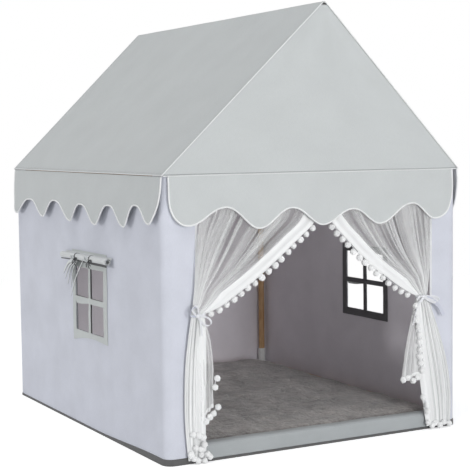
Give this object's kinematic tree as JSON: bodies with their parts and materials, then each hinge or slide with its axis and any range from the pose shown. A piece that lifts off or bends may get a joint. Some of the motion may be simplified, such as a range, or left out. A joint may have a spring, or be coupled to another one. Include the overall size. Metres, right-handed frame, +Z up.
{
  "type": "play tent",
  "caption": "Grey cloth play house on a wooden pole frame, with a gable roof, scalloped valances, sheer pom-pom door curtains and windows with roll-up blinds",
  "frame": {"origin": "On the ground under the middle of the tent", "axes": "+Z up, the door faces -Y, +X to the right of someone facing the back wall from the door"},
  "size_m": [1.1489, 1.354, 1.3839],
  "materials": {
    "pine_pole": "planed pine, lightly sanded",
    "white_plastic": "moulded, satin",
    "grey_roof_cloth": "plain-woven polyester, matt",
    "pale_wall_cloth": "plain-woven polyester, matt",
    "window_binding": "folded binding tape, stitched",
    "grey_blind_cloth": "plain-woven polyester, rolled",
    "grey_ribbon": "narrow woven ribbon",
    "white_curtain": "sheer tulle, gathered",
    "white_pompom": "cut wool pom-poms on a tape",
    "dark_ground_sheet": "coated cloth",
    "grey_sill_cloth": "plain-woven polyester, matt",
    "plush_mat": "short plush pile, quilted"
  },
  "bodies": {
    "tent": {"post_front_left": "pine_pole", "post_front_right": "pine_pole", "post_rear_left": "pine_pole", "post_rear_right": "pine_pole", "rafter_front_left": "pine_pole", "rafter_front_right": "pine_pole", "rafter_rear_left": "pine_pole", "rafter_rear_right": "pine_pole", "base_rail_front": "pine_pole", "base_rail_rear": "pine_pole", "base_rail_left": "pine_pole", "base_rail_right": "pine_pole", "eave_rail_front": "pine_pole", "eave_rail_rear": "pine_pole", "eave_rail_left": "pine_pole", "eave_rail_right": "pine_pole", "ridge_pole": "pine_pole", "base_connector_front_left": "white_plastic", "base_connector_front_right": "white_plastic", "base_connector_rear_left": "white_plastic", "base_connector_rear_right": "white_plastic", "eave_connector_front_left": "white_plastic", "eave_connector_front_right": "white_plastic", "eave_connector_rear_left": "white_plastic", "eave_connector_rear_right": "white_plastic", "ridge_connector_front": "white_plastic", "ridge_connector_rear": "white_plastic", "roof_slope_left": "grey_roof_cloth", "roof_slope_right": "grey_roof_cloth", "gable_front": "grey_roof_cloth", "gable_rear": "grey_roof_cloth", "left_wall": "pale_wall_cloth", "right_wall": "pale_wall_cloth", "rear_wall": "pale_wall_cloth", "front_strip_left": "pale_wall_cloth", "front_strip_right": "pale_wall_cloth", "ground_sheet": "dark_ground_sheet", "ground_rim": "dark_ground_sheet", "door_sill": "grey_sill_cloth", "floor_mat": "plush_mat", "window_frame_left": "window_binding", "blind_sheet_left": "grey_blind_cloth", "curtain_drape_left": "white_curtain", "pompom_trim_left": "white_pompom", "window_frame_right": "window_binding", "blind_sheet_right": "grey_blind_cloth", "curtain_drape_right": "white_curtain", "pompom_trim_right": "white_pompom"},
    "valance_front_flap": {"valance_front": "grey_roof_cloth"},
    "valance_rear_flap": {"valance_rear": "grey_roof_cloth"},
    "valance_left_flap": {"valance_left": "grey_roof_cloth"},
    "valance_right_flap": {"valance_right": "grey_roof_cloth"},
    "blind_left": {"blind_roll_left": "grey_blind_cloth", "blind_ribbons_left": "grey_ribbon"},
    "curtain_end_left": {"curtain_tail_left": "white_curtain", "curtain_tie_left": "white_curtain"},
    "blind_right": {"blind_roll_right": "grey_blind_cloth", "blind_ribbons_right": "grey_ribbon"},
    "curtain_end_right": {"curtain_tail_right": "white_curtain", "curtain_tie_right": "white_curtain"}
  },
  "joints": [
    {"name": "valance_left_lift", "type": "hinge", "parent": "tent", "child": "valance_left_flap", "pos_m": [-0.5422, 0, 0.85634], "axis": [0, 1, 0], "range_deg": [0, 100]},
    {"name": "valance_right_lift", "type": "hinge", "parent": "tent", "child": "valance_right_flap", "pos_m": [0.5422, 0, 0.85634], "axis": [0, -1, 0], "range_deg": [0, 100]},
    {"name": "valance_front_lift", "type": "hinge", "parent": "tent", "child": "valance_front_flap", "pos_m": [0, -0.6442, 0.85634], "axis": [-1, 0, 0], "range_deg": [0, 100]},
    {"name": "valance_rear_lift", "type": "hinge", "parent": "tent", "child": "valance_rear_flap", "pos_m": [0, 0.6442, 0.85634], "axis": [1, 0, 0], "range_deg": [0, 100]},
    {"name": "blind_left_unroll", "type": "slide", "parent": "tent", "child": "blind_left", "axis": [0, 0, -1], "range_m": [0, 0.27], "deforming": ["blind_sheet_left"]},
    {"name": "blind_right_unroll", "type": "slide", "parent": "tent", "child": "blind_right", "axis": [0, 0, -1], "range_m": [0, 0.27], "deforming": ["blind_sheet_right"]},
    {"name": "curtain_left_swing", "type": "hinge", "parent": "tent", "child": "curtain_end_left", "pos_m": [-0.436, -0.6634, 0.4485], "axis": [-1, 0, 0], "range_deg": [0, 34]},
    {"name": "curtain_right_swing", "type": "hinge", "parent": "tent", "child": "curtain_end_right", "pos_m": [0.385, -0.6634, 0.4485], "axis": [-1, 0, 0], "range_deg": [0, 34]}
  ]
}
